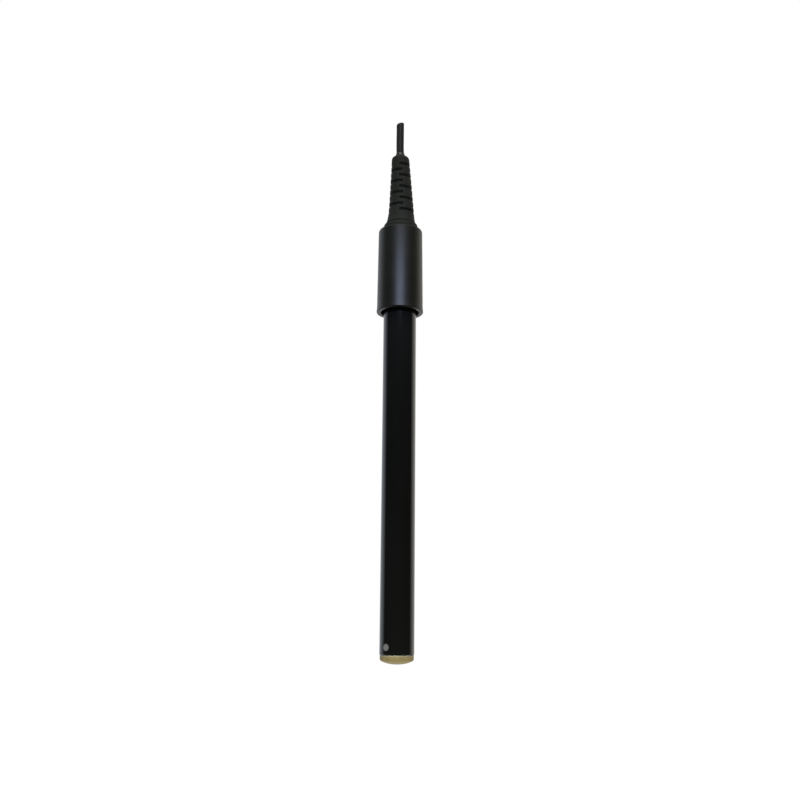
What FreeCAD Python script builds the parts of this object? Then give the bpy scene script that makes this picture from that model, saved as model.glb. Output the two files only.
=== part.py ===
import FreeCAD, Part
import math
import os

# Combination electrode for measuring water quality: a 12 mm shaft with a sensing tip, a cap
# that carries the cable, and a rubber strain relief. Millimetres, +Z up towards the cable,
# tip down. The origin is on the shaft's axis, in the plane of the cap's lower rim.
# -Y is the front, where the reference junction shows left of centre.

# ---- driving dimensions ----
SHAFT_R = 6.0            # outside of the shaft
SHAFT_BORE_R = 4.8
SHAFT_LOW_Z = -122.1     # joint line between the shaft and the sensing tip
SHAFT_SHOULDER_Z = 4.5   # the full diameter ends here, inside the cap's skirt
SPIGOT_R = 5.7           # reduced end that the cap is bonded to
SPIGOT_TOP_Z = 16.0
SHAFT_EDGE = 0.12        # broken edge at the shaft's lower end

TIP_R = 5.82
TIP_EDGE = 0.2           # chamfer beside the joint line
TIP_HEIGHT = 3.18        # of the sensing tip below the shaft
TIP_DOME_R = 13.2        # its shallow dome
TIP_CORNER_R = 1.0       # rounding between the dome and the side
TIP_SPIGOT_R = 4.78
TIP_SPIGOT_TOP_Z = -121.35
TIP_NECK_R = 3.8         # neck that holds the inner tube
TIP_NECK_TOP_Z = -114.6
TIP_PASSAGE_R = 1.9
TIP_O_RING_WIRE_R = 0.5
MEMBRANE_R = 2.8
MEMBRANE_THICK = 0.9

JUNCTION_R = 1.21
JUNCTION_Z = -119.55
JUNCTION_TURN = -38.5    # degrees from the front towards -X
JUNCTION_PROUD = 0.04

INNER_R = 3.0
INNER_BORE_R = 2.2
INNER_TOP_Z = -24.0
STOPPER_LENGTH = 6.0
FILL_TOP_Z = -45.0
REFERENCE_GEL_TOP_Z = -34.0

WIRE_R = 0.25
MEASURING_WIRE_LOW_Z = -114.6
ELEMENT_R = 0.55
ELEMENT_LENGTH = 12.0
REFERENCE_X = 3.9        # the reference wire stands beside the inner tube
REFERENCE_WIRE_LOW_Z = -101.6
WIRE_TOP_Z = 11.0

SEAL_LOW_Z = -14.0       # epoxy plug that closes both chambers
SEAL_TOP_Z = -8.0

CAP_LIP_R = 8.58
CAP_LIP_ROUND = 0.45
CAP_LOW_R = 8.42         # just above the flared lip
CAP_LIP_END_Z = 4.5
CAP_TOP_R = 8.15
CAP_TOP_Z = 32.3
CAP_EDGE_ROUND = 1.0
CAP_ROOF = 2.6
CAP_BORE_R = 7.0
CAP_BORE_TOP_Z = 16.0
CAP_CAVITY_R = 6.6
CAP_RIM_CHAMFER = 0.2

BUSH_LOW_Z = 5.0         # ceiling of the gap between the skirt and the shaft
BUSH_GROOVE_Z = 8.0
BUSH_GROOVE_HEIGHT = 1.4
BUSH_GROOVE_R = 6.6
O_RING_WIRE_R = 0.45

BOOT_NECK_R = 3.2        # the neck that passes through the cap's roof
BOOT_PLUG_R = 4.6        # the flange that snaps in behind the roof
BOOT_PLUG_HEIGHT = 1.8
BOOT_FLANGE_R = 6.3      # the collar that lies on the cap
BOOT_FLANGE_TOP_Z = 34.6
BOOT_GROOVE_R = 5.2      # crease between the collar and the flare
BOOT_GROOVE_TOP_Z = 35.0
BOOT_TIP_Z = 63.9
BOOT_TIP_R = 1.7
SLOT_FIRST_Z = 39.45
SLOT_PITCH = 2.37
SLOT_LEVELS = 9
SLOT_HEIGHT = 1.05
SLOT_DEPTH = 0.2         # share of the relief's radius
SLOT_ARC = 118.0         # degrees of each slot, two opposite slots at each level
SLOT_TURN = -38.5        # middle of the first level's front slot, from +X

CABLE_R = 1.43
BRAID_R = 1.08
DIELECTRIC_R = 0.85
CORE_R = 0.27
CABLE_END_Z = 76.4
CABLE_CUT_SLOPE = 0.26   # the cut end rises towards +X
JACKET_LOW_Z = 21.0
BRAID_LOW_Z = 19.0
DIELECTRIC_LOW_Z = 15.5
CORE_LOW_Z = 11.7
CABLE_GAP = 0.05         # room that the flexing cable has in what holds it

FERRULE_R = 2.1
FERRULE_LOW_Z = 19.4
FERRULE_TOP_Z = 26.0
SLEEVE_R = 0.8
SLEEVE_LENGTH = 5.0
SOLDER_R = 0.62
PIGTAIL_R = 0.3
POTTING_LOW_Z = 4.0

UP = FreeCAD.Vector(0, 0, 1)
BOOT_BORE_R = CABLE_R + CABLE_GAP
TIP_LOW_Z = SHAFT_LOW_Z - TIP_HEIGHT
DOME_CENTRE_Z = TIP_LOW_Z + TIP_DOME_R


# ---- helpers ----
def rod(radius, low, top, x=0.0, y=0.0):
    return Part.makeCylinder(radius, top - low, FreeCAD.Vector(x, y, low), UP)


def ring(outer, inner, low, top, x=0.0, y=0.0):
    return rod(outer, low, top, x, y).cut(rod(inner, low - 1, top + 1, x, y))


def point(radius, z):
    return FreeCAD.Vector(radius, 0, z)


def turned(edges):
    """The closed outline in the XZ plane, turned about the axis."""
    face = Part.Face(Part.Wire(Part.__sortEdges__(edges)))
    return face.revolve(FreeCAD.Vector(0, 0, 0), UP, 360)


def outline(points):
    """Straight edges through (radius, z) points, closed."""
    corners = [point(r, z) for r, z in points]
    return [Part.makeLine(a, b) for a, b in zip(corners, corners[1:] + corners[:1])]


def torus(radius, wire_radius, z, x=0.0):
    return Part.makeTorus(radius, wire_radius, FreeCAD.Vector(x, 0, z), UP)


def without(shape, *others):
    for other in others:
        shape = shape.cut(other)
    return shape


def write(node, shape):
    shape = shape.removeSplitter()
    if not shape.isValid() or not shape.Solids:
        raise ValueError(node + " is not a valid solid")
    print(node, len(shape.Solids), "solid(s),", round(shape.Volume, 2), "mm3")
    shape.exportStep("parts/" + node + ".step")


# ---- shaft and sensing tip ----
def junction_plug(radius, inner_end, outer_end):
    turn = math.radians(JUNCTION_TURN)
    out = FreeCAD.Vector(math.sin(turn), -math.cos(turn), 0)
    start = out * inner_end + UP * JUNCTION_Z
    return Part.makeCylinder(radius, outer_end - inner_end, start, out)


def body_tube():
    tube = turned(outline([
        (SHAFT_BORE_R, SHAFT_LOW_Z),
        (SHAFT_R - SHAFT_EDGE, SHAFT_LOW_Z),
        (SHAFT_R, SHAFT_LOW_Z + SHAFT_EDGE),
        (SHAFT_R, SHAFT_SHOULDER_Z),
        (SPIGOT_R, SHAFT_SHOULDER_Z),
        (SPIGOT_R, SPIGOT_TOP_Z),
        (SHAFT_BORE_R, SPIGOT_TOP_Z),
    ]))
    return tube.cut(junction_plug(JUNCTION_R, 3.0, SHAFT_R + 1))


def reference_junction():
    face = rod(SHAFT_R + JUNCTION_PROUD, JUNCTION_Z - 3, JUNCTION_Z + 3)
    return junction_plug(JUNCTION_R, SHAFT_BORE_R - 0.4, SHAFT_R + 1).common(face)


def dome():
    """The outside of the sensing tip: a straight band, a rounded corner and a shallow dome."""
    corner_r = TIP_R - TIP_CORNER_R
    reach = TIP_DOME_R - TIP_CORNER_R
    down = math.acos(corner_r / reach)
    corner_z = DOME_CENTRE_Z - reach * math.sin(down)

    def on_dome(angle):
        return point(TIP_DOME_R * math.cos(angle), DOME_CENTRE_Z - TIP_DOME_R * math.sin(angle))

    def on_corner(angle):
        return point(corner_r + TIP_CORNER_R * math.cos(angle),
                     corner_z - TIP_CORNER_R * math.sin(angle))

    lowest = point(0, TIP_LOW_Z)
    corners = [
        on_corner(0),
        point(TIP_R, SHAFT_LOW_Z - TIP_EDGE),
        point(TIP_R - TIP_EDGE, SHAFT_LOW_Z),
        point(0, SHAFT_LOW_Z),
        lowest,
    ]
    edges = [Part.makeLine(a, b) for a, b in zip(corners, corners[1:])]
    edges.append(Part.Arc(lowest, on_dome((down + math.pi / 2) / 2), on_dome(down)).toShape())
    edges.append(Part.Arc(on_dome(down), on_corner(down / 2), on_corner(0)).toShape())
    return turned(edges)


def sensing_tip():
    tip = dome().fuse(rod(TIP_SPIGOT_R, SHAFT_LOW_Z - 0.5, TIP_SPIGOT_TOP_Z))
    tip = tip.fuse(rod(TIP_NECK_R, SHAFT_LOW_Z - 0.5, TIP_NECK_TOP_Z))
    tip = tip.cut(rod(INNER_R, TIP_SPIGOT_TOP_Z, TIP_NECK_TOP_Z + 1))
    tip = tip.cut(rod(TIP_PASSAGE_R, TIP_LOW_Z, TIP_NECK_TOP_Z))
    return tip.cut(rod(MEMBRANE_R, TIP_LOW_Z - 1, TIP_LOW_Z + MEMBRANE_THICK))


def ion_membrane():
    return dome().common(rod(MEMBRANE_R, TIP_LOW_Z - 1, TIP_LOW_Z + MEMBRANE_THICK))


# ---- inside the shaft ----
def measuring_wire():
    return rod(WIRE_R, MEASURING_WIRE_LOW_Z, WIRE_TOP_Z)


def measuring_element():
    return ring(ELEMENT_R, WIRE_R, MEASURING_WIRE_LOW_Z, MEASURING_WIRE_LOW_Z + ELEMENT_LENGTH)


def inner_tube():
    return ring(INNER_R, INNER_BORE_R, TIP_SPIGOT_TOP_Z, INNER_TOP_Z)


def inner_stopper():
    return ring(INNER_BORE_R, WIRE_R, INNER_TOP_Z - STOPPER_LENGTH, INNER_TOP_Z)


def inner_fill_gel():
    low = TIP_LOW_Z + MEMBRANE_THICK
    gel = rod(TIP_PASSAGE_R, low, TIP_SPIGOT_TOP_Z)
    gel = gel.fuse(rod(INNER_BORE_R, TIP_SPIGOT_TOP_Z, FILL_TOP_Z))
    gel = without(gel, measuring_wire(), measuring_element())
    return gel


def reference_wire():
    return rod(WIRE_R, REFERENCE_WIRE_LOW_Z, WIRE_TOP_Z, REFERENCE_X)


def reference_element():
    low = REFERENCE_WIRE_LOW_Z
    return ring(ELEMENT_R, WIRE_R, low, low + ELEMENT_LENGTH, REFERENCE_X)


def reference_gel():
    gel = ring(SHAFT_BORE_R, INNER_R, TIP_SPIGOT_TOP_Z, REFERENCE_GEL_TOP_Z)
    gel = gel.cut(rod(TIP_NECK_R, TIP_SPIGOT_TOP_Z - 1, TIP_NECK_TOP_Z))
    o_ring_seat = rod(INNER_R + 2 * TIP_O_RING_WIRE_R, TIP_NECK_TOP_Z - 1,
                      TIP_NECK_TOP_Z + 2 * TIP_O_RING_WIRE_R)
    return without(gel, o_ring_seat, junction_plug(JUNCTION_R, SHAFT_BORE_R - 0.4, SHAFT_R),
                   reference_wire(), reference_element())


def tip_o_ring():
    """Seals the inner tube where it enters the tip's neck."""
    return torus(INNER_R + TIP_O_RING_WIRE_R, TIP_O_RING_WIRE_R,
                 TIP_NECK_TOP_Z + TIP_O_RING_WIRE_R)


def chamber_seal():
    plug = rod(SHAFT_BORE_R, SEAL_LOW_Z, SEAL_TOP_Z)
    return without(plug, measuring_wire(), reference_wire())


# ---- cap ----
def cap_shell():
    arc_middle = CAP_EDGE_ROUND * (1 - math.sin(math.radians(45)))
    round_start = point(CAP_TOP_R, CAP_TOP_Z - CAP_EDGE_ROUND)
    round_middle = point(CAP_TOP_R - arc_middle, CAP_TOP_Z - arc_middle)
    round_end = point(CAP_TOP_R - CAP_EDGE_ROUND, CAP_TOP_Z)
    roof_low = CAP_TOP_Z - CAP_ROOF
    lip_start = point(CAP_LIP_R, CAP_LIP_ROUND)
    rim_middle_in = CAP_LIP_ROUND * (1 - math.sin(math.radians(45)))
    rim_middle = point(CAP_LIP_R - rim_middle_in, rim_middle_in)
    rim_end = point(CAP_LIP_R - CAP_LIP_ROUND, 0)
    lip_end = point(CAP_LOW_R, CAP_LIP_END_Z)
    lip_middle = point(CAP_LOW_R + 0.03, CAP_LIP_END_Z * 0.45)
    corners = [
        round_end,
        point(BOOT_NECK_R, CAP_TOP_Z),
        point(BOOT_NECK_R, roof_low),
        point(CAP_CAVITY_R, roof_low),
        point(CAP_CAVITY_R, CAP_BORE_TOP_Z),
        point(CAP_BORE_R, CAP_BORE_TOP_Z),
        point(CAP_BORE_R, CAP_RIM_CHAMFER),
        point(CAP_BORE_R + CAP_RIM_CHAMFER, 0),
        rim_end,
    ]
    edges = [Part.makeLine(a, b) for a, b in zip(corners, corners[1:])]
    edges.append(Part.Arc(rim_end, rim_middle, lip_start).toShape())
    edges.append(Part.Arc(lip_start, lip_middle, lip_end).toShape())
    edges.append(Part.makeLine(lip_end, round_start))
    edges.append(Part.Arc(round_start, round_middle, round_end).toShape())
    return turned(edges)


def tube_o_ring():
    return torus(SPIGOT_R + O_RING_WIRE_R, O_RING_WIRE_R, BUSH_GROOVE_Z + BUSH_GROOVE_HEIGHT / 2)


def tube_bushing():
    bush = ring(CAP_BORE_R, SPIGOT_R, BUSH_LOW_Z, CAP_BORE_TOP_Z)
    groove = rod(BUSH_GROOVE_R, BUSH_GROOVE_Z, BUSH_GROOVE_Z + BUSH_GROOVE_HEIGHT)
    return bush.cut(groove)


# ---- cable and its terminations ----
def cut_off(shape):
    """Trims the cable's upper end to the slanted cut."""
    size = 10.0
    block = Part.makeBox(size, size, size, FreeCAD.Vector(-size / 2, -size / 2, 0))
    turn = FreeCAD.Rotation(FreeCAD.Vector(0, -1, 0), math.degrees(math.atan(CABLE_CUT_SLOPE)))
    block.Placement = FreeCAD.Placement(FreeCAD.Vector(0, 0, CABLE_END_Z), turn)
    return shape.cut(block)


def cable_layer(outer, inner, low):
    top = CABLE_END_Z + 2
    return cut_off(ring(outer, inner, low, top) if inner else rod(outer, low, top))


def crimp_ferrule():
    """Grips the jacket and the braid; the wide part is over the jacket."""
    return ring(FERRULE_R, BOOT_BORE_R, FERRULE_LOW_Z, FERRULE_TOP_Z)


def run(radius, points):
    """A round lead through the points, with a ball at each turn."""
    lead = None
    for a, b in zip(points, points[1:]):
        piece = Part.makeCylinder(radius, (b - a).Length, a, b - a)
        if lead is not None:
            piece = piece.fuse(Part.makeSphere(radius, a))
        lead = piece if lead is None else lead.fuse(piece)
    return lead


def braid_pigtail():
    """The braid's strands, gathered and led to the reference wire."""
    points = [
        FreeCAD.Vector((FERRULE_R + BOOT_BORE_R) / 2, 0, FERRULE_LOW_Z),
        FreeCAD.Vector(REFERENCE_X, 0, WIRE_TOP_Z + 3.5),
        FreeCAD.Vector(REFERENCE_X, 0, WIRE_TOP_Z + 0.2),
    ]
    lead = run(PIGTAIL_R, points)
    return lead.common(rod(SPIGOT_R, 0, FERRULE_LOW_Z))


def solder_joints():
    """One drop under the cable's core, one where the pigtail meets the reference wire."""
    wires = (measuring_wire(), reference_wire(), braid_pigtail())
    places = [FreeCAD.Vector(x, 0, WIRE_TOP_Z) for x in (0, REFERENCE_X)]
    return Part.makeCompound([without(Part.makeSphere(SOLDER_R, at), *wires) for at in places])


def heat_shrink_sleeves():
    """Two short sleeves over the wires below their joints."""
    top = WIRE_TOP_Z - 1
    sleeves = [ring(SLEEVE_R, WIRE_R, top - SLEEVE_LENGTH, top, x) for x in (0, REFERENCE_X)]
    return Part.makeCompound(sleeves)


# ---- strain relief ----
BOOT_OUTER = [
    (BOOT_FLANGE_R, CAP_TOP_Z),
    (BOOT_FLANGE_R, BOOT_FLANGE_TOP_Z),
    (BOOT_GROOVE_R, BOOT_FLANGE_TOP_Z),
    (BOOT_GROOVE_R, BOOT_GROOVE_TOP_Z),
    (5.55, BOOT_GROOVE_TOP_Z),
    (5.42, 35.8),
    (5.17, 36.7),
    (5.0, 37.6),
    (4.86, 38.7),
    (4.73, 40.0),
    (3.42, 60.3),
    (3.3, 61.2),
    (3.1, 61.7),
    (2.8, 62.1),
    (2.35, 62.45),
    (1.95, 62.75),
    (1.78, 63.2),
    (BOOT_TIP_R, BOOT_TIP_Z),
]


def boot_radius(z):
    """Outside radius of the relief at height z."""
    for (r0, z0), (r1, z1) in zip(BOOT_OUTER, BOOT_OUTER[1:]):
        if z0 < z <= z1:
            return r0 + (r1 - r0) * (z - z0) / (z1 - z0)
    raise ValueError("outside the relief")


def slot(z, start_angle):
    """A flexing slot: part of a ring cut from the outside."""
    floor = boot_radius(z) * (1 - SLOT_DEPTH)
    low = z - SLOT_HEIGHT / 2
    base = FreeCAD.Vector(0, 0, low)
    sector = Part.makeCylinder(9, SLOT_HEIGHT, base, UP, SLOT_ARC)
    sector.rotate(base, UP, start_angle)
    return sector.cut(rod(floor, low - 1, low + SLOT_HEIGHT + 1))


def strain_relief():
    roof_low = CAP_TOP_Z - CAP_ROOF
    plug_low = roof_low - BOOT_PLUG_HEIGHT
    inside = [
        (BOOT_BORE_R, BOOT_TIP_Z),
        (BOOT_BORE_R, plug_low),
        (BOOT_PLUG_R - 0.8, plug_low),
        (BOOT_PLUG_R, plug_low + 0.8),
        (BOOT_PLUG_R, roof_low),
        (BOOT_NECK_R, roof_low),
        (BOOT_NECK_R, CAP_TOP_Z),
    ]
    boot = turned(outline(inside + BOOT_OUTER))
    for level in range(SLOT_LEVELS):
        z = SLOT_FIRST_Z + level * SLOT_PITCH
        # Right-front and left-back slots, then left-front and right-back ones.
        first = SLOT_TURN if level % 2 == 0 else 180 - SLOT_TURN
        for middle in (first, first + 180):
            boot = boot.cut(slot(z, middle - SLOT_ARC / 2))
    return boot


def cap_potting():
    """Resin that fills the cap above the bushing, round all that it holds."""
    roof_low = CAP_TOP_Z - CAP_ROOF
    resin = rod(CAP_CAVITY_R, CAP_BORE_TOP_Z, roof_low)
    resin = resin.fuse(rod(SHAFT_BORE_R, POTTING_LOW_Z, CAP_BORE_TOP_Z))
    plug = rod(BOOT_PLUG_R, roof_low - BOOT_PLUG_HEIGHT, roof_low)
    layers = ((CABLE_R, JACKET_LOW_Z), (BRAID_R, BRAID_LOW_Z),
              (DIELECTRIC_R, DIELECTRIC_LOW_Z), (CORE_R, CORE_LOW_Z))
    cable_way = [rod(radius + CABLE_GAP, low - CABLE_GAP, roof_low) for radius, low in layers]
    solder = [rod(SOLDER_R + CABLE_GAP, WIRE_TOP_Z, CORE_LOW_Z)]
    return without(resin, plug, crimp_ferrule(), braid_pigtail(), measuring_wire(),
                   reference_wire(), solder_joints(), heat_shrink_sleeves(), *cable_way, *solder)


def main():
    os.makedirs("parts", exist_ok=True)
    write("body_tube", body_tube())
    write("sensing_tip", sensing_tip())
    write("ion_membrane", ion_membrane())
    write("reference_junction", reference_junction())
    write("inner_tube", inner_tube())
    write("inner_stopper", inner_stopper())
    write("inner_fill_gel", inner_fill_gel())
    write("measuring_wire", measuring_wire())
    write("measuring_element", measuring_element())
    write("reference_gel", reference_gel())
    write("reference_wire", reference_wire())
    write("reference_element", reference_element())
    write("tip_o_ring", tip_o_ring())
    write("chamber_seal", chamber_seal())
    write("cap_shell", cap_shell())
    write("tube_bushing", tube_bushing())
    write("tube_o_ring", tube_o_ring())
    write("cap_potting", cap_potting())
    write("strain_relief", strain_relief())
    write("cable_jacket", cable_layer(CABLE_R, BRAID_R, JACKET_LOW_Z))
    write("cable_braid", cable_layer(BRAID_R, DIELECTRIC_R, BRAID_LOW_Z))
    write("cable_dielectric", cable_layer(DIELECTRIC_R, CORE_R, DIELECTRIC_LOW_Z))
    write("cable_core", cable_layer(CORE_R, 0, CORE_LOW_Z))
    write("crimp_ferrule", crimp_ferrule())
    write("braid_pigtail", braid_pigtail())
    write("solder_joints", solder_joints())
    write("heat_shrink_sleeves", heat_shrink_sleeves())


main()
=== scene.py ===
import math
import bmesh
import bpy
import numpy as np
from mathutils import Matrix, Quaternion, Vector


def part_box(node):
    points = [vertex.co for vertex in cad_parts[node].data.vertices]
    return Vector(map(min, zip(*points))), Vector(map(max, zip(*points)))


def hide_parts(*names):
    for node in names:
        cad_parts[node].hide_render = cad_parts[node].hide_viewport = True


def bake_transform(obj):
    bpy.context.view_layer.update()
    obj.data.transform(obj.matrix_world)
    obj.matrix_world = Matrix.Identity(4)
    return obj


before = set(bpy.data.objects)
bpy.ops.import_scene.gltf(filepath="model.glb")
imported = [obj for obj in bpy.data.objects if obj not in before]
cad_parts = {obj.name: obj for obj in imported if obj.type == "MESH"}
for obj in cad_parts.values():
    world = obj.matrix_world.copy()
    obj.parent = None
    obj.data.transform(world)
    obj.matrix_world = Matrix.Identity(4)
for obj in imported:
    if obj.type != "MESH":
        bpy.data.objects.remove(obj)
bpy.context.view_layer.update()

MM = 0.001

# ---- places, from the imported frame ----
CAP_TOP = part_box("cap_shell")[1][2] / MM
SHAFT_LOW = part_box("body_tube")[0][2] / MM
RELIEF_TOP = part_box("strain_relief")[1][2] / MM
CABLE_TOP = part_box("cable_jacket")[1][2] / MM
SHAFT_R = 6.0
JUNCTION_TURN = math.radians(38.5)      # how far left of the front the junction sits
JUNCTION_Z = (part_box("reference_junction")[0][2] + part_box("reference_junction")[1][2]) / 2
JUNCTION_FACE = (-SHAFT_R * MM * math.sin(JUNCTION_TURN), -SHAFT_R * MM * math.cos(JUNCTION_TURN),
                 JUNCTION_Z)


# ---- mesh helpers ----
SHARP = 50              # degrees between faces, above which an edge is drawn sharp


def new_piece(name, verts, faces, node):
    """A smooth mesh piece in the row frame that stands for a CAD node."""
    mesh = bpy.data.meshes.new(name)
    mesh.from_pydata([tuple(v) for v in verts], [], faces)
    mesh.validate()
    mesh.update()
    mesh.polygons.foreach_set("use_smooth", [True] * len(mesh.polygons))
    piece = bpy.data.objects.new(name, mesh)
    bpy.context.scene.collection.objects.link(piece)
    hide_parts(node)
    return piece


def sharpen(piece, degrees):
    """Marks the edges that turn by more than this as sharp."""
    work = bmesh.new()
    work.from_mesh(piece.data)
    for edge in work.edges:
        if len(edge.link_faces) == 2 and edge.calc_face_angle() > math.radians(degrees):
            edge.smooth = False
    work.to_mesh(piece.data)
    work.free()


def closed_lathe(rows, segments, place=None):
    """Vertices and faces of a closed (radius, z) outline turned about the axis, in mm.

    place(row, radius, z, angle) may move a point and returns its (radius, z).
    """
    verts = []
    for index, (radius, z) in enumerate(rows):
        for s in range(segments):
            angle = 2 * math.pi * s / segments
            r, h = place(index, radius, z, angle) if place else (radius, z)
            verts.append((r * math.cos(angle) * MM, r * math.sin(angle) * MM, h * MM))
    faces = []
    count = len(rows)
    for i in range(count):
        j = (i + 1) % count
        for s in range(segments):
            t = (s + 1) % segments
            a, b = i * segments + s, i * segments + t
            c, d = j * segments + t, j * segments + s
            faces.append((a, b, c, d))
    return verts, faces


def outward(piece):
    """Makes every face point outwards."""
    work = bmesh.new()
    work.from_mesh(piece.data)
    bmesh.ops.recalc_face_normals(work, faces=work.faces)
    work.to_mesh(piece.data)
    work.free()


def smoothstep(x):
    """0 below 0, 1 above 1 and smooth between."""
    x = max(0.0, min(1.0, x))
    return x * x * (3 - 2 * x)


# ---- the line that the cable follows ----
# It leaves the cap on the axis and has taken a slight set to the left, as the real one has.
ROUTE = ((0.0, 0, 21.0), (0.0, 0, 33.5), (0.24, 0, 39.5), (0.1, 0, 47.0), (-0.1, 0, 56.0),
         (-0.26, 0, 61.8), (-0.49, 0, 66.0), (-0.45, 0, 71.0), (-0.45, 0, 76.4))


def route_line(points):
    """Points along the route's smooth line, in mm."""
    curve = bpy.data.curves.new("route", "CURVE")
    curve.dimensions = "3D"
    curve.resolution_u = 12
    spline = curve.splines.new("NURBS")
    spline.points.add(len(points) - 1)
    for place, (x, y, z) in zip(spline.points, points):
        place.co = (x, y, z, 1)
    spline.order_u = 3
    spline.use_endpoint_u = True
    holder = bpy.data.objects.new("route", curve)
    mesh = bpy.data.meshes.new_from_object(holder)
    line = [tuple(vertex.co) for vertex in mesh.vertices]
    bpy.data.meshes.remove(mesh)
    bpy.data.objects.remove(holder)
    bpy.data.curves.remove(curve)
    return sorted(line, key=lambda place: place[2])


LINE = route_line(ROUTE)
LINE_Z = [z for x, y, z in LINE]
LINE_X = [x for x, y, z in LINE]


def follow(verts):
    """Moves points, in metres, from the straight axis to the cable's line."""
    return [(x + float(np.interp(z / MM, LINE_Z, LINE_X)) * MM, y, z) for x, y, z in verts]


# ---- strain relief ----
# Radii and heights in mm.
BORE = 1.48
BORE_ROWS = 26          # rows of vertices down the bore
NECK = 3.2              # waist in the hole in the cap's roof
PLUG = 4.6              # foot that holds the relief from inside the cap
PLUG_EDGE = 0.8
PLUG_HEIGHT = 1.8
ROOF = 2.6              # thickness of the cap's roof
COLLAR = 6.3            # lies on the cap
COLLAR_TOP = 34.6
CREASE = 5.2            # groove above the collar
CREASE_TOP = 35.0
FLARE_FOOT = ((5.36, CREASE_TOP), (5.47, CREASE_TOP + 0.06))
TAPER_Z = 40.0          # the taper's radius at this height, and how fast it narrows
TAPER = 4.73
TAPER_RATE = 0.0645
TAPER_LOW = CREASE_TOP + 0.15
TAPER_HIGH = 38.5       # plain below the slots, up to here
FLARE = 0.55            # extra radius just above the crease, dying away upwards
FLARE_LENGTH = 1.7
CROWN_Z = 60.6          # the rounded top starts here
SLOT_FIRST = 39.45
SLOT_PITCH = 2.37
SLOT_LEVELS = 9
SLOT_HEIGHT = 1.05
SLOT_DEPTH = 0.2        # share of the relief's radius
SLOT_ARC = 118.0        # degrees of each slot, two opposite slots at each level
SLOT_TURN = -38.5       # middle of the first level's front slot, from +X
SLOT_END = 5.0          # degrees over which a slot's end rises to the surface
RELIEF_SEGMENTS = 216
# How far into a slot a row lies: its distance from the slot's edge, and its share of the depth.
SLOT_EDGE = ((0.14, 0.0), (0.05, 0.02), (0.0, 0.12), (-0.03, 0.88), (-0.1, 1.0))
CROWN = ((3.37, 61.05), (3.31, 61.42), (3.21, 61.75), (3.01, 62.02), (2.75, 62.24), (2.45, 62.42),
         (2.12, 62.58), (1.92, 62.76), (1.8, 63.05), (1.73, 63.35), (1.68, RELIEF_TOP - 0.1))


def relief_radius(z):
    """Radius of the relief's outside between its slots."""
    return (TAPER - TAPER_RATE * (z - TAPER_Z)
            + FLARE * math.exp(-(z - CREASE_TOP) / FLARE_LENGTH))


def slot_share(level, angle):
    """How deep a slot of this level is at an angle, from 0 to 1."""
    degrees = math.degrees(angle)
    first = SLOT_TURN if level % 2 == 0 else 180.0 - SLOT_TURN
    best = 0.0
    for middle in (first, first + 180.0):
        off = abs((degrees - middle + 180.0) % 360.0 - 180.0)
        best = max(best, smoothstep((SLOT_ARC / 2 - off) / SLOT_END + 0.5))
    return best


def relief_rows():
    """The relief's closed outline: each row's radius, z and, in a slot, (level, share)."""
    roof = CAP_TOP - ROOF
    low = roof - PLUG_HEIGHT
    inside = [(BORE, z) for z in np.linspace(RELIEF_TOP - 0.1, low + 0.1, BORE_ROWS)]
    inside += [(BORE + 0.1, low), (PLUG - PLUG_EDGE, low), (PLUG, low + PLUG_EDGE),
               (PLUG, roof - 0.05), (PLUG - 0.05, roof), (NECK, roof), (NECK, CAP_TOP)]
    collar = [(COLLAR - 0.12, CAP_TOP), (COLLAR - 0.03, CAP_TOP + 0.1), (COLLAR, CAP_TOP + 0.3),
              (COLLAR, COLLAR_TOP - 0.6), (COLLAR - 0.06, COLLAR_TOP - 0.34),
              (COLLAR - 0.22, COLLAR_TOP - 0.12), (COLLAR - 0.46, COLLAR_TOP),
              (CREASE + 0.1, COLLAR_TOP), (CREASE, COLLAR_TOP + 0.1), (CREASE, CREASE_TOP - 0.1),
              (CREASE + 0.1, CREASE_TOP), *FLARE_FOOT]
    heights = {round(float(z), 4): None for z in np.linspace(TAPER_LOW, TAPER_HIGH, 12)}
    for level in range(SLOT_LEVELS):
        middle = SLOT_FIRST + SLOT_PITCH * level
        heights[round(middle, 4)] = (level, 1.0)
        heights[round(middle + SLOT_PITCH / 2, 4)] = None
        for edge, share in SLOT_EDGE:
            for side in (-1, 1):
                heights[round(middle + side * (SLOT_HEIGHT / 2 + edge), 4)] = (level, share)
    heights[CROWN_Z] = None
    rows = [(r, z, None) for r, z in inside + collar]
    rows += [(relief_radius(z), z, heights[z]) for z in sorted(heights)]
    rows += [(r, z, None) for r, z in CROWN]
    rows.append((BORE + 0.08, RELIEF_TOP, None))
    return rows


def strain_relief():
    """The moulded relief, with its slots."""
    rows = relief_rows()

    def cut(index, radius, z, angle):
        inside = rows[index][2]
        if inside:
            radius -= SLOT_DEPTH * radius * inside[1] * slot_share(inside[0], angle)
        return radius, z

    verts, faces = closed_lathe([row[:2] for row in rows], RELIEF_SEGMENTS, cut)
    piece = new_piece("strain_relief_moulded", follow(verts), faces, "strain_relief")
    outward(piece)
    sharpen(piece, SHARP)
    return piece


# ---- cable ----
JACKET_R = 1.43
BRAID_R = 1.08
DIELECTRIC_R = 0.85
CORE_R = 0.27
CUT_SLOPE = 0.26        # rise of the slanted cut per mm to the right
CUT_Z = CABLE_TOP - CUT_SLOPE * JACKET_R
JACKET_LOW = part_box("cable_jacket")[0][2] / MM
BRAID_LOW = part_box("cable_braid")[0][2] / MM
DIELECTRIC_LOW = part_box("cable_dielectric")[0][2] / MM
CORE_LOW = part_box("cable_core")[0][2] / MM
CABLE_SEGMENTS = 64
CABLE_STEP = 1.2        # height between rows of vertices
BRAID_WIRES = 36        # in each of its two rings
BRAID_WIRE_R = 0.075
BRAID_RINGS = (0.965, 0.9)
WIRE_SIDES = 10
WIRE_ROWS = 40


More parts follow.
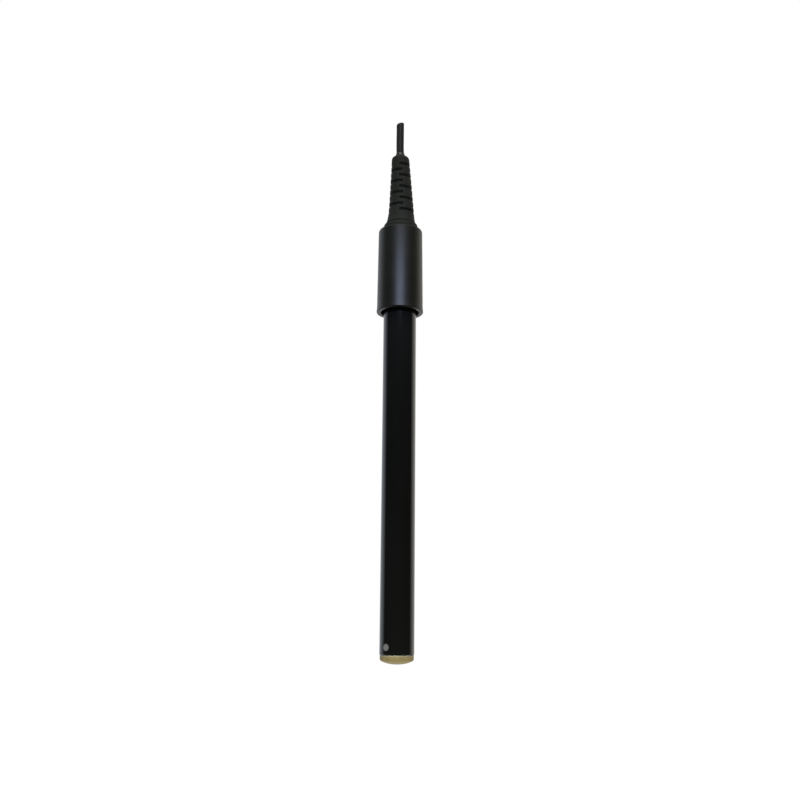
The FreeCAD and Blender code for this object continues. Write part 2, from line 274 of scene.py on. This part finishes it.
def cut_height(x, y, down=0.0):
    """Height of the slanted cut over a point, in mm."""
    return CUT_Z + CUT_SLOPE * x - down


def cable_layer(name, node, outer, inner, low, rounded, recess):
    """A layer of the cable, cut at a slant at its top. recess is how far below the cut it ends."""
    steps = max(2, round((CUT_Z - low) / CABLE_STEP))
    heights = list(np.linspace(low, CUT_Z - 1.2, steps))
    rows = [(outer, z, None) for z in heights]
    rows += [(outer, 0, rounded * 2.2), (outer - rounded * 0.3, 0, rounded * 0.9)]
    rows += [(outer - rounded, 0, rounded * 0.15)]
    if inner:
        rows += [(inner + rounded * 0.3, 0, 0.0), (inner, 0, rounded * 0.5)]
        rows += [(inner, z, None) for z in reversed(heights)]
    else:
        rows += [(outer * 0.4, 0, 0.0), (0.001, 0, -0.02)]
        rows += [(0.001, low, None)]

    def slanted(index, radius, z, angle):
        down = rows[index][2]
        if down is not None:
            x, y = radius * math.cos(angle), radius * math.sin(angle)
            z = cut_height(x, y, down + recess)
        return radius, z

    verts, faces = closed_lathe([row[:2] for row in rows], CABLE_SEGMENTS, slanted)
    piece = new_piece(name, follow(verts), faces, node)
    outward(piece)
    sharpen(piece, SHARP)
    return piece


def strands(name, node, places, radius, low, above):
    """Round wires that run up the cable, in one mesh, each ending just above the cut."""
    sides = WIRE_SIDES
    verts, faces = [], []
    for px, py in places:
        heights = list(np.linspace(low, CUT_Z - 1.5, WIRE_ROWS))
        top = cut_height(px, py) + above
        rings = [(z, radius) for z in heights] + [(top - 0.04, radius), (top, radius * 0.7)]
        first = len(verts)
        for z, r in rings:
            for s in range(sides):
                a = 2 * math.pi * s / sides
                verts.append(((px + r * math.cos(a)) * MM, (py + r * math.sin(a)) * MM, z * MM))
        for i in range(len(rings) - 1):
            for s in range(sides):
                t = (s + 1) % sides
                a, b = first + i * sides + s, first + i * sides + t
                faces.append((a, b, b + sides, a + sides))
        faces.append(tuple(first + s for s in reversed(range(sides))))
        last = first + (len(rings) - 1) * sides
        faces.append(tuple(last + s for s in range(sides)))
    piece = new_piece(name, follow(verts), faces, node)
    sharpen(piece, SHARP)
    return piece


def ring_places(count, radius, start=0.0):
    """Points evenly round a circle, in mm."""
    turns = [start + 2 * math.pi * k / count for k in range(count)]
    return [(radius * math.cos(t), radius * math.sin(t)) for t in turns]


relief = strain_relief()
jacket = cable_layer("cable_jacket_cut", "cable_jacket",
                     JACKET_R, BRAID_R, JACKET_LOW, 0.12, 0.0)
braid = strands("cable_braid_wires", "cable_braid",
                ring_places(BRAID_WIRES, BRAID_RINGS[0])
                + ring_places(BRAID_WIRES, BRAID_RINGS[1], 0.06),
                BRAID_WIRE_R, BRAID_LOW, -0.02)
dielectric = cable_layer("cable_dielectric_cut", "cable_dielectric",
                         DIELECTRIC_R - 0.02, CORE_R + 0.01, DIELECTRIC_LOW, 0.05, 0.03)
core = strands("cable_core_wires", "cable_core",
               [(0.0, 0.0)] + ring_places(6, 0.18), 0.088, CORE_LOW, 0.02)


# ---- materials ----
def new_material(name):
    """A material, its nodes and links, and its main shader."""
    made = bpy.data.materials.new(name)
    made.use_nodes = True
    nodes = made.node_tree.nodes
    return made, nodes, made.node_tree.links, nodes["Principled BSDF"]


def noise(nodes, links, coords, scale, detail=3.0, roughness=0.5, stretch=(1, 1, 1)):
    """A noise texture in the row frame, whose features are about 1 / scale metres."""
    mapping = nodes.new("ShaderNodeMapping")
    mapping.inputs["Scale"].default_value = stretch
    links.new(coords.outputs["Object"], mapping.inputs["Vector"])
    texture = nodes.new("ShaderNodeTexNoise")
    texture.inputs["Scale"].default_value = scale
    texture.inputs["Detail"].default_value = detail
    texture.inputs["Roughness"].default_value = roughness
    links.new(mapping.outputs["Vector"], texture.inputs["Vector"])
    return texture.outputs["Fac"]


def ramp(nodes, links, value, low, high, out_low, out_high):
    """Maps a value from low..high to out_low..out_high, clamped."""
    node = nodes.new("ShaderNodeMapRange")
    for key, number in (("From Min", low), ("From Max", high),
                        ("To Min", out_low), ("To Max", out_high)):
        node.inputs[key].default_value = number
    links.new(value, node.inputs["Value"])
    return node.outputs["Result"]


def mix(nodes, links, factor, first, second):
    """A colour between two, by a factor from 0 to 1."""
    node = nodes.new("ShaderNodeMix")
    node.data_type = "RGBA"
    links.new(factor, node.inputs["Factor"])
    for key, value in (("A", first), ("B", second)):
        socket = [i for i in node.inputs if i.name == key and i.type == "RGBA"][0]
        if isinstance(value, tuple):
            socket.default_value = (*value, 1.0)
        else:
            links.new(value, socket)
    return [o for o in node.outputs if o.type == "RGBA"][0]


def arithmetic(nodes, links, operation, first, second):
    """A sum, product or other result of two values."""
    node = nodes.new("ShaderNodeMath")
    node.operation = operation
    links.new(first, node.inputs[0])
    links.new(second, node.inputs[1])
    return node.outputs["Value"]


def height_above(nodes, links, coords, low, high):
    """0 below the height low and 1 above high, in mm, in the row frame."""
    apart = nodes.new("ShaderNodeSeparateXYZ")
    links.new(coords.outputs["Object"], apart.inputs["Vector"])
    return ramp(nodes, links, apart.outputs["Z"], low * MM, high * MM, 0.0, 1.0)


def bump(nodes, links, shader, heights):
    """Chains bumps: each is (height socket, distance in metres, strength)."""
    normal = None
    for height, distance, strength in heights:
        node = nodes.new("ShaderNodeBump")
        node.inputs["Distance"].default_value = distance
        node.inputs["Strength"].default_value = strength
        links.new(height, node.inputs["Height"])
        if normal is not None:
            links.new(normal, node.inputs["Normal"])
        normal = node.outputs["Normal"]
    links.new(normal, shader.inputs["Normal"])


def plastic(name, dark, light, rough, grain, grain_depth, blotch=120.0, specular=0.5,
            stretch=(1, 1, 1), metallic=0.0, strength=1.0):
    """Moulded plastic, rubber or metal with cloudy colour, uneven gloss and a fine grain."""
    made, nodes, links, shader = new_material(name)
    coords = nodes.new("ShaderNodeTexCoord")
    cloud = noise(nodes, links, coords, blotch, 4.0, 0.6)
    fine = noise(nodes, links, coords, grain, 3.0, 0.6, stretch)
    tone = ramp(nodes, links, cloud, 0.3, 0.7, 0.0, 1.0)
    links.new(mix(nodes, links, tone, dark, light), shader.inputs["Base Color"])
    links.new(ramp(nodes, links, cloud, 0.3, 0.7, rough[0], rough[1]), shader.inputs["Roughness"])
    shader.inputs["Specular IOR Level"].default_value = specular
    shader.inputs["Metallic"].default_value = metallic
    bump(nodes, links, shader, [(fine, grain_depth, strength)])
    return made


def shaft_material():
    """Polished black plastic with very fine rubbing marks round and along it."""
    made, nodes, links, shader = new_material("shaft_polished")
    coords = nodes.new("ShaderNodeTexCoord")
    cloud = noise(nodes, links, coords, 60.0, 3.0, 0.5, (1, 1, 0.3))
    along = noise(nodes, links, coords, 5000.0, 2.0, 0.5, (1, 1, 0.02))
    dark, light = (0.0075, 0.0079, 0.007), (0.0105, 0.0108, 0.0098)
    tone = ramp(nodes, links, cloud, 0.35, 0.65, 0.0, 1.0)
    links.new(mix(nodes, links, tone, dark, light), shader.inputs["Base Color"])
    links.new(ramp(nodes, links, along, 0.35, 0.7, 0.05, 0.1), shader.inputs["Roughness"])
    bump(nodes, links, shader, [(along, 0.4e-6, 0.5)])
    return made


def cap_material():
    """Matt moulded cap, smoother towards the handled rim and rougher on its top edge."""
    made, nodes, links, shader = new_material("cap_moulded")
    coords = nodes.new("ShaderNodeTexCoord")
    cloud = noise(nodes, links, coords, 150.0, 4.0, 0.6)
    grain = noise(nodes, links, coords, 5200.0, 3.0, 0.6)
    flow = noise(nodes, links, coords, 700.0, 2.0, 0.5, (1, 1, 0.12))
    tone = ramp(nodes, links, cloud, 0.3, 0.7, 0.0, 1.0)
    colour = mix(nodes, links, tone, (0.0068, 0.0069, 0.0032), (0.0092, 0.0093, 0.005))
    links.new(colour, shader.inputs["Base Color"])
    height = height_above(nodes, links, coords, 0.0, CAP_TOP)
    handled = ramp(nodes, links, height, 0.0, 1.0, 0.42, 0.45)
    uneven = ramp(nodes, links, cloud, 0.3, 0.7, -0.02, 0.02)
    edge = height_above(nodes, links, coords, CAP_TOP - 1.0, CAP_TOP - 0.3)
    blasted = ramp(nodes, links, edge, 0.0, 1.0, 0.0, 0.2)
    rough = arithmetic(nodes, links, "ADD", handled, uneven)
    links.new(arithmetic(nodes, links, "ADD", rough, blasted), shader.inputs["Roughness"])
    links.new(ramp(nodes, links, edge, 0.0, 1.0, 0.5, 0.1), shader.inputs["Specular IOR Level"])
    bump(nodes, links, shader, [(flow, 3e-6, 0.5), (grain, 12e-6, 0.5)])
    return made


def tip_material():
    """Khaki plastic of the sensing tip, slightly mottled, with a painted highlight that makes it
    paler along its top edge.
    """
    made, nodes, links, shader = new_material("tip_khaki")
    coords = nodes.new("ShaderNodeTexCoord")
    cloud = noise(nodes, links, coords, 500.0, 5.0, 0.6)
    fine = noise(nodes, links, coords, 6000.0, 2.0, 0.5)
    tone = ramp(nodes, links, cloud, 0.3, 0.7, 0.0, 1.0)
    body = mix(nodes, links, tone, (0.385, 0.31, 0.135), (0.475, 0.388, 0.178))
    # Painted highlight: a pale colour mixed in along the tip's top edge, where its bevel would
    # catch the light
    edge = height_above(nodes, links, coords, SHAFT_LOW - 0.5, SHAFT_LOW - 0.15)
    uneven = ramp(nodes, links, cloud, 0.3, 0.7, 0.75, 1.0)
    painted_highlight = arithmetic(nodes, links, "MULTIPLY", edge, uneven)
    links.new(mix(nodes, links, painted_highlight, body, (0.97, 0.93, 0.74)), shader.inputs["Base Color"])
    links.new(ramp(nodes, links, cloud, 0.3, 0.7, 0.45, 0.6), shader.inputs["Roughness"])
    shader.inputs["Specular IOR Level"].default_value = 0.12
    shader.inputs["Subsurface Weight"].default_value = 0.12
    shader.inputs["Subsurface Radius"].default_value = (0.0009, 0.0007, 0.0003)
    bump(nodes, links, shader, [(fine, 3e-6, 0.5)])
    return made


def junction_material():
    """Porous plug: pale grains in a grey body, with open pores and a darker rim."""
    made, nodes, links, shader = new_material("junction_porous")
    coords = nodes.new("ShaderNodeTexCoord")
    cells = nodes.new("ShaderNodeTexVoronoi")
    cells.inputs["Scale"].default_value = 7000.0
    links.new(coords.outputs["Object"], cells.inputs["Vector"])
    cloud = noise(nodes, links, coords, 1500.0, 4.0, 0.6)
    pores = ramp(nodes, links, cells.outputs["Distance"], 0.1, 0.6, 0.0, 1.0)
    stain = ramp(nodes, links, cloud, 0.35, 0.65, 0.0, 1.0)
    grey = mix(nodes, links, stain, (0.14, 0.14, 0.14), (0.24, 0.24, 0.237))
    body = mix(nodes, links, pores, grey, (0.31, 0.31, 0.305))
    away = nodes.new("ShaderNodeVectorMath")
    away.operation = "DISTANCE"
    away.inputs[1].default_value = JUNCTION_FACE
    links.new(coords.outputs["Object"], away.inputs[0])
    rim = ramp(nodes, links, away.outputs["Value"], 0.8 * MM, 1.25 * MM, 0.0, 0.75)
    links.new(mix(nodes, links, rim, body, (0.06, 0.06, 0.06)), shader.inputs["Base Color"])
    shader.inputs["Roughness"].default_value = 0.85
    bump(nodes, links, shader, [(cells.outputs["Distance"], 30e-6, 0.7)])
    return made


def rubber_material():
    """Matt rubber of the relief, with a fine skin, rubbed smoother at its neck."""
    made, nodes, links, shader = new_material("relief_rubber")
    coords = nodes.new("ShaderNodeTexCoord")
    cloud = noise(nodes, links, coords, 260.0, 5.0, 0.65)
    skin = noise(nodes, links, coords, 4200.0, 4.0, 0.6)
    tone = ramp(nodes, links, cloud, 0.3, 0.7, 0.0, 1.0)
    colour = mix(nodes, links, tone, (0.0138, 0.0145, 0.0083), (0.018, 0.0187, 0.0121))
    links.new(colour, shader.inputs["Base Color"])
    matt = ramp(nodes, links, cloud, 0.3, 0.7, 0.7, 0.82)
    neck = height_above(nodes, links, coords, CROWN[4][1], CROWN[7][1])
    smoother = ramp(nodes, links, neck, 0.0, 1.0, 0.0, 0.38)
    links.new(arithmetic(nodes, links, "SUBTRACT", matt, smoother), shader.inputs["Roughness"])
    links.new(ramp(nodes, links, neck, 0.0, 1.0, 0.3, 0.4), shader.inputs["Specular IOR Level"])
    bump(nodes, links, shader, [(skin, 18e-6, 0.6)])
    return made


def jacket_material():
    """Smooth cable jacket with drawn-out extrusion lines."""
    made, nodes, links, shader = new_material("cable_jacket")
    coords = nodes.new("ShaderNodeTexCoord")
    lines = noise(nodes, links, coords, 3500.0, 3.0, 0.5, (1, 1, 0.03))
    cloud = noise(nodes, links, coords, 400.0, 3.0, 0.5)
    tone = ramp(nodes, links, cloud, 0.3, 0.7, 0.0, 1.0)
    colour = mix(nodes, links, tone, (0.0098, 0.0098, 0.009), (0.0135, 0.0135, 0.0126))
    links.new(colour, shader.inputs["Base Color"])
    links.new(ramp(nodes, links, lines, 0.3, 0.7, 0.5, 0.62), shader.inputs["Roughness"])
    shader.inputs["Specular IOR Level"].default_value = 0.4
    bump(nodes, links, shader, [(lines, 8e-6, 0.6)])
    return made


def gel_material():
    """Clear, slightly cloudy gel."""
    made, nodes, links, shader = new_material("filling_gel")
    coords = nodes.new("ShaderNodeTexCoord")
    cloud = noise(nodes, links, coords, 300.0, 3.0, 0.5)
    tone = ramp(nodes, links, cloud, 0.3, 0.7, 0.0, 1.0)
    links.new(mix(nodes, links, tone, (0.8, 0.86, 0.82), (0.88, 0.9, 0.86)),
              shader.inputs["Base Color"])
    links.new(ramp(nodes, links, cloud, 0.3, 0.7, 0.08, 0.2), shader.inputs["Roughness"])
    shader.inputs["Transmission Weight"].default_value = 0.85
    shader.inputs["IOR"].default_value = 1.35
    bump(nodes, links, shader, [(cloud, 30e-6, 0.4)])
    return made


def metal(name, colour, rough, grain=4000.0, stretch=(1, 1, 0.05)):
    """Drawn or plated metal with fine lines along it."""
    darker = tuple(c * 0.82 for c in colour)
    return plastic(name, darker, colour, rough, grain, 4e-6, 900.0, 0.5, stretch, 1.0, 0.6)


materials = {
    "body_tube": shaft_material(),
    "cap_shell": cap_material(),
    "sensing_tip": tip_material(),
    "reference_junction": junction_material(),
}
seal = plastic("seal_rubber", (0.012, 0.012, 0.012), (0.02, 0.02, 0.02), (0.6, 0.75),
               4000.0, 10e-6)
silver = metal("silver_wire", (0.82, 0.8, 0.76), (0.2, 0.32))
chloride = plastic("silver_chloride", (0.12, 0.1, 0.11), (0.22, 0.18, 0.2), (0.7, 0.9),
                   6000.0, 25e-6, 1200.0)
epoxy = plastic("cast_epoxy", (0.03, 0.026, 0.022), (0.05, 0.044, 0.036), (0.15, 0.3),
                900.0, 20e-6)
gel = gel_material()
tinned = metal("tinned_copper", (0.62, 0.58, 0.52), (0.28, 0.42))
materials.update({
    "ion_membrane": plastic("ion_membrane", (0.2, 0.14, 0.05), (0.27, 0.19, 0.075),
                            (0.18, 0.3), 3000.0, 4e-6, 700.0),
    "inner_tube": plastic("inner_tube", (0.62, 0.61, 0.56), (0.72, 0.71, 0.67), (0.2, 0.3),
                          2000.0, 4e-6),
    "inner_stopper": seal,
    "tip_o_ring": seal,
    "tube_o_ring": seal,
    "inner_fill_gel": gel,
    "reference_gel": gel,
    "measuring_wire": silver,
    "reference_wire": silver,
    "measuring_element": chloride,
    "reference_element": chloride,
    "chamber_seal": epoxy,
    "cap_potting": epoxy,
    "tube_bushing": plastic("bushing_moulded", (0.006, 0.006, 0.006), (0.01, 0.01, 0.01),
                            (0.45, 0.6), 4500.0, 10e-6),
    "crimp_ferrule": metal("nickel_plate", (0.68, 0.66, 0.62), (0.22, 0.35)),
    "braid_pigtail": tinned,
    "solder_joints": metal("bright_solder", (0.6, 0.6, 0.61), (0.15, 0.3), 2000.0, (1, 1, 1)),
    "heat_shrink_sleeves": plastic("heat_shrink", (0.25, 0.02, 0.02), (0.34, 0.035, 0.03),
                                   (0.35, 0.5), 3000.0, 8e-6),
})


def dress(piece, made):
    """Puts one material on every slot of a piece."""
    if not piece.data.materials:
        piece.data.materials.append(made)
    for index in range(len(piece.material_slots)):
        piece.material_slots[index].link = "OBJECT"
        piece.material_slots[index].material = made


for node, made in materials.items():
    dress(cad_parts[node], made)
dress(relief, rubber_material())
dress(jacket, jacket_material())
dress(braid, tinned)
dress(dielectric, plastic("waxy_dielectric", (0.72, 0.71, 0.66), (0.82, 0.81, 0.77),
                          (0.35, 0.5), 4000.0, 6e-6))
dress(core, metal("bright_copper", (0.78, 0.4, 0.24), (0.2, 0.35)))

# ---- pieces' placements baked into their meshes ----
for piece in (relief, jacket, braid, dielectric, core):
    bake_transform(piece)


# ---- stage, in metres ----
FLOOR_HALF = 6.0
FLOOR_Z = -0.55


def stage_floor():
    """A wide pale floor, well below the held probe."""
    size, height = FLOOR_HALF, FLOOR_Z
    mesh = bpy.data.meshes.new("floor")
    mesh.from_pydata([(-size, -size, height), (size, -size, height),
                      (size, size, height), (-size, size, height)], [], [(0, 1, 2, 3)])
    floor = bpy.data.objects.new("floor", mesh)
    bpy.context.scene.collection.objects.link(floor)
    made, nodes, links, shader = new_material("pale_floor")
    shader.inputs["Base Color"].default_value = (0.86, 0.86, 0.86, 1)
    shader.inputs["Roughness"].default_value = 0.9
    shader.inputs["Emission Color"].default_value = (1, 1, 1, 1)
    shader.inputs["Emission Strength"].default_value = 0.9
    mesh.materials.append(made)
    floor.visible_diffuse = False
    floor.visible_glossy = False


def area_light(name, place, target, width, height, power, colour):
    """A soft box that shines from a place towards a target."""
    data = bpy.data.lights.new(name, "AREA")
    data.shape = "RECTANGLE"
    data.size, data.size_y = width, height
    data.energy = power
    data.color = colour
    light = bpy.data.objects.new(name, data)
    light.location = place
    light.rotation_mode = "QUATERNION"
    light.rotation_quaternion = (Vector(target) - Vector(place)).to_track_quat("-Z", "Y")
    light.visible_camera = False
    bpy.context.scene.collection.objects.link(light)
    return light


def world_light():
    """White all round behind the probe, dim in front of it, so that its gloss shows."""
    world = bpy.data.worlds.new("studio")
    bpy.context.scene.world = world
    world.use_nodes = True
    nodes, links = world.node_tree.nodes, world.node_tree.links
    nodes.clear()
    coords = nodes.new("ShaderNodeTexCoord")
    apart = nodes.new("ShaderNodeSeparateXYZ")
    links.new(coords.outputs["Generated"], apart.inputs["Vector"])
    behind = ramp(nodes, links, apart.outputs["Y"], 0.0, 0.46, 0.0, 1.0)
    above = ramp(nodes, links, apart.outputs["Z"], 0.55, 0.85, 0.03, 0.5)
    below = ramp(nodes, links, apart.outputs["Z"], -0.9, -0.4, 0.22, 0.0)
    most = arithmetic(nodes, links, "MAXIMUM", behind, above)
    most = arithmetic(nodes, links, "MAXIMUM", most, below)
    side = ramp(nodes, links, apart.outputs["X"], -0.6, 0.6, 0.0, 1.0)
    soft = nodes.new("ShaderNodeBackground")
    links.new(mix(nodes, links, side, (0.9, 0.96, 1.06), (1.03, 1.0, 0.94)), soft.inputs["Color"])
    links.new(most, soft.inputs["Strength"])
    seen = nodes.new("ShaderNodeBackground")
    seen.inputs["Color"].default_value = (1.0, 1.0, 1.0, 1)
    seen.inputs["Strength"].default_value = 1.0
    path = nodes.new("ShaderNodeLightPath")
    choose = nodes.new("ShaderNodeMixShader")
    links.new(path.outputs["Is Camera Ray"], choose.inputs["Fac"])
    links.new(soft.outputs["Background"], choose.inputs[1])
    links.new(seen.outputs["Background"], choose.inputs[2])
    out = nodes.new("ShaderNodeOutputWorld")
    links.new(choose.outputs["Shader"], out.inputs["Surface"])


stage_floor()
world_light()
WARM = (1.0, 0.98, 0.93)
COOL = (0.59, 0.69, 1.0)
area_light("high_front", (0.0, -0.34, 0.56), (0, 0, -0.02), 0.25, 0.25, 1.9, WARM)
area_light("cap_bar", (0.0, -0.08, 0.0325), (0, 0, 0.004), 0.044, 0.008, 0.034, COOL)
low_tip = area_light("low_tip", (0.0, -0.09, -0.175), (0, 0, -0.122), 0.03, 0.03, 0.055, WARM)
low_tip.visible_glossy = False      # it lights the tip, and the shaft doesn't mirror it

# ---- camera ----
AIM = Vector((0.0, 0.0, -0.0328))
DISTANCE = 0.365
RISE = math.radians(13.2)       # the camera looks up at the probe by this much
ROLL = math.radians(0.5)
SIDE = 0.00034                  # the camera stands this far to the right of the probe's axis
FOCAL = 45.5                    # mm, on a sensor 36 mm wide

camera_data = bpy.data.cameras.new("camera")
camera_data.lens = FOCAL
camera_data.sensor_width = 36.0
camera_data.clip_start = 0.01
camera = bpy.data.objects.new("camera", camera_data)
bpy.context.scene.collection.objects.link(camera)
look = Vector((0, math.cos(RISE), math.sin(RISE)))
camera.location = AIM + Vector((SIDE, 0, 0)) - look * DISTANCE
turn = look.to_track_quat("-Z", "Y")
turn.rotate(Quaternion(look, -ROLL))
camera.rotation_mode = "QUATERNION"
camera.rotation_quaternion = turn
bpy.context.scene.camera = camera
bpy.context.scene.view_settings.view_transform = "Standard"
